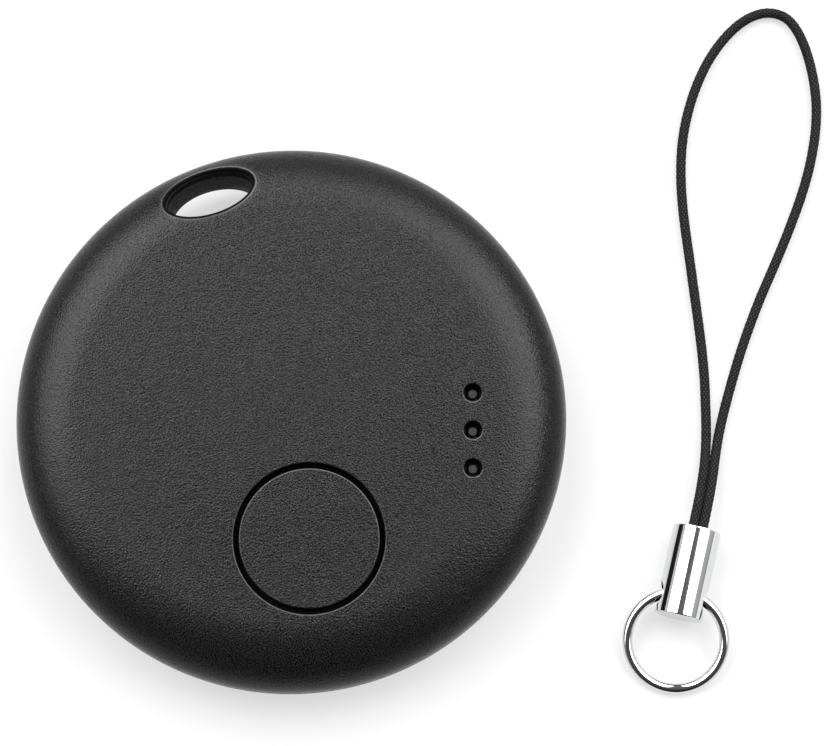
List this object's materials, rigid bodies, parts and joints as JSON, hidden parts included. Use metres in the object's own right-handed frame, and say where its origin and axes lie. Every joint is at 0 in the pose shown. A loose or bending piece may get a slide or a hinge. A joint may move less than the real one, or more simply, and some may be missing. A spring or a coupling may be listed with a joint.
{
  "type": "bluetooth tracker tag",
  "caption": "Round black tracker tag with push button, sound ports and lanyard slot, a coin cell behind a rear door, and a braided cord strap with metal ferrule and jump ring.",
  "frame": {"origin": "on the surface the tag lies on, below the centre of its round case", "axes": "+Z out of the front face (up), +Y towards the lanyard slot's side, +X towards the strap lying beside the tag"},
  "size_m": [0.0627, 0.0548, 0.008],
  "materials": {
    "case_plastic": "matt black with a fine spark-eroded grain",
    "door_plastic": "matt black with a fine grain",
    "inner_plastic": "satin black moulding",
    "insert_plastic": "satin dark grey",
    "switch_plastic": "satin black",
    "silicone": "dull dark grey silicone",
    "foam": "black foam tape",
    "acoustic_mesh": "fine black woven mesh",
    "board_laminate": "green solder mask",
    "chip_package": "matt black moulding compound",
    "plated_steel": "bright nickel plate",
    "antenna_ceramic": "off-white ceramic",
    "capacitor_ceramic": "tan ceramic with tinned ends",
    "piezo_brass": "bright rolled brass",
    "screw_steel": "zinc-plated steel",
    "cell_steel": "nickel-plated steel, finely brushed",
    "cell_core": "dark pressed powder and metal disc",
    "cord_nylon": "black braided nylon with a slight sheen",
    "chrome": "polished chrome plate"
  },
  "bodies": {
    "case": {"front_shell": "case_plastic", "rear_shell": "case_plastic", "shell_gasket": "silicone", "battery_carrier": "inner_plastic", "button_gasket": "silicone", "switch_body": "switch_plastic", "port_insert": "insert_plastic", "port_membrane": "acoustic_mesh", "circuit_board": "board_laminate", "bluetooth_chip": "chip_package", "crystal": "plated_steel", "chip_antenna": "antenna_ceramic", "capacitor_1": "capacitor_ceramic", "capacitor_2": "capacitor_ceramic", "capacitor_3": "capacitor_ceramic", "resistor_1": "chip_package", "resistor_2": "chip_package", "inductor": "chip_package", "board_screw_1": "screw_steel", "board_screw_2": "screw_steel", "board_screw_3": "screw_steel", "piezo_foam_ring": "foam", "piezo_brass_disc": "piezo_brass", "piezo_ceramic": "antenna_ceramic", "piezo_contact_inner": "piezo_brass", "piezo_contact_outer": "piezo_brass", "battery_contact_positive": "plated_steel", "battery_contact_negative": "plated_steel"},
    "button": {"button_cap": "case_plastic", "switch_plunger": "switch_plastic"},
    "door": {"battery_door": "door_plastic", "door_seal": "silicone"},
    "cell": {"coin_cell_can": "cell_steel", "coin_cell_cap": "cell_steel", "coin_cell_grommet": "inner_plastic", "coin_cell_core": "cell_core"},
    "strap": {"strap_cord": "cord_nylon", "strap_ferrule": "chrome"},
    "ring": {"strap_ring": "chrome"}
  },
  "joints": [
    {"name": "button_press", "type": "slide", "parent": "case", "child": "button", "axis": [0, 0, -1], "range_m": [0, 0.00035], "stiffness_N_per_m": 1500, "springref_m": -0.0004},
    {"name": "door_lift", "type": "slide", "parent": "case", "child": "door", "axis": [0, 0, -1], "range_m": [0, 0.012]},
    {"name": "cell_lift", "type": "slide", "parent": "case", "child": "cell", "axis": [0, 0, -1], "range_m": [0, 0.0072]},
    {"name": "strap_lift", "type": "slide", "parent": "case", "child": "strap", "axis": [0, 0, 1], "range_m": [0, 0.03]},
    {"name": "ring_swing", "type": "hinge", "parent": "strap", "child": "ring", "pos_m": [0.02982, -0.01357, 0.00185], "axis": [-0.9728, 0.2317, 0], "range_deg": [0, 160]}
  ],
  "couplings": [
    {"joint": "cell_lift", "follows": "door_lift", "ratio": 0.6}
  ]
}
